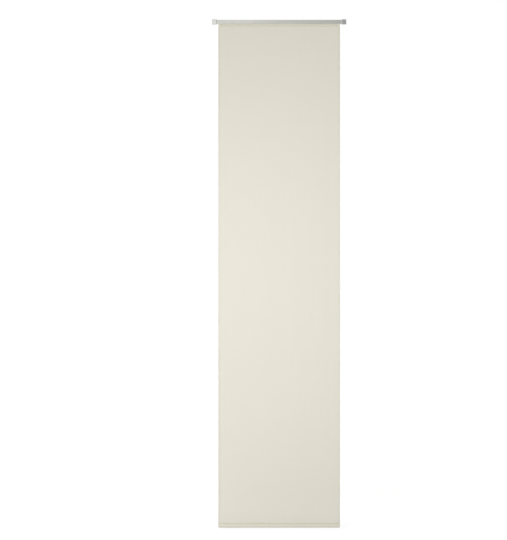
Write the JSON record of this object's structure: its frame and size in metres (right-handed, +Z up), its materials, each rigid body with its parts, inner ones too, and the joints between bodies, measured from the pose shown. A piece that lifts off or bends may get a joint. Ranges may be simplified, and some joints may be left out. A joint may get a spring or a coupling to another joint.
{
  "type": "sliding curtain panel",
  "caption": "Flat sheer curtain panel with hemmed sides and a weighted hem, hung by hook tape from a roller carrier that slides in a square aluminium rail with block end caps.",
  "frame": {"origin": "middle of the rail's top face, between the two screw holes, where the rail meets its bracket", "axes": "+Z up out of the rail's top, +X along the rail to the right seen from the front, the cloth's front faces -Y"},
  "size_m": [0.662, 0.0254, 2.5091],
  "materials": {
    "satin_aluminium": "satin",
    "cap_metal": "satin",
    "steel": "satin",
    "runner_plastic": "matte",
    "wheel_plastic": "satin",
    "hook_tape": "matte",
    "loop_tape": "matte",
    "sheer_cloth": "matte",
    "rod_metal": "satin",
    "rod_cap_plastic": "matte"
  },
  "bodies": {
    "track": {"rail": "satin_aluminium", "left_end_cap": "cap_metal", "right_end_cap": "cap_metal", "left_cap_screw": "steel", "right_cap_screw": "steel"},
    "panel": {"runner_1": "runner_plastic", "runner_2": "runner_plastic", "runner_3": "runner_plastic", "carrier": "satin_aluminium", "left_carrier_plug": "runner_plastic", "right_carrier_plug": "runner_plastic", "hook_tape": "hook_tape", "loop_tape": "loop_tape", "curtain_cloth": "sheer_cloth", "weight_rod": "rod_metal", "left_rod_cap": "rod_cap_plastic", "right_rod_cap": "rod_cap_plastic"},
    "wheelset_1": {"runner_1_axle": "steel", "runner_1_front_wheel": "wheel_plastic", "runner_1_back_wheel": "wheel_plastic"},
    "wheelset_2": {"runner_2_axle": "steel", "runner_2_front_wheel": "wheel_plastic", "runner_2_back_wheel": "wheel_plastic"},
    "wheelset_3": {"runner_3_axle": "steel", "runner_3_front_wheel": "wheel_plastic", "runner_3_back_wheel": "wheel_plastic"}
  },
  "joints": [
    {"name": "panel_slide", "type": "slide", "parent": "track", "child": "panel", "axis": [1, 0, 0], "range_m": [-0.005, 0.005]},
    {"name": "wheelset_1_roll", "type": "hinge", "parent": "panel", "child": "wheelset_1", "pos_m": [-0.278, 0, -0.01265], "axis": [0, 1, 0], "range_deg": [-53, 53]},
    {"name": "wheelset_2_roll", "type": "hinge", "parent": "panel", "child": "wheelset_2", "pos_m": [0, 0, -0.01265], "axis": [0, 1, 0], "range_deg": [-53, 53]},
    {"name": "wheelset_3_roll", "type": "hinge", "parent": "panel", "child": "wheelset_3", "pos_m": [0.278, 0, -0.01265], "axis": [0, 1, 0], "range_deg": [-53, 53]}
  ],
  "couplings": [
    {"joint": "wheelset_1_roll", "follows": "panel_slide", "rad_per_m": 181.82},
    {"joint": "wheelset_2_roll", "follows": "panel_slide", "rad_per_m": 181.82},
    {"joint": "wheelset_3_roll", "follows": "panel_slide", "rad_per_m": 181.82}
  ]
}
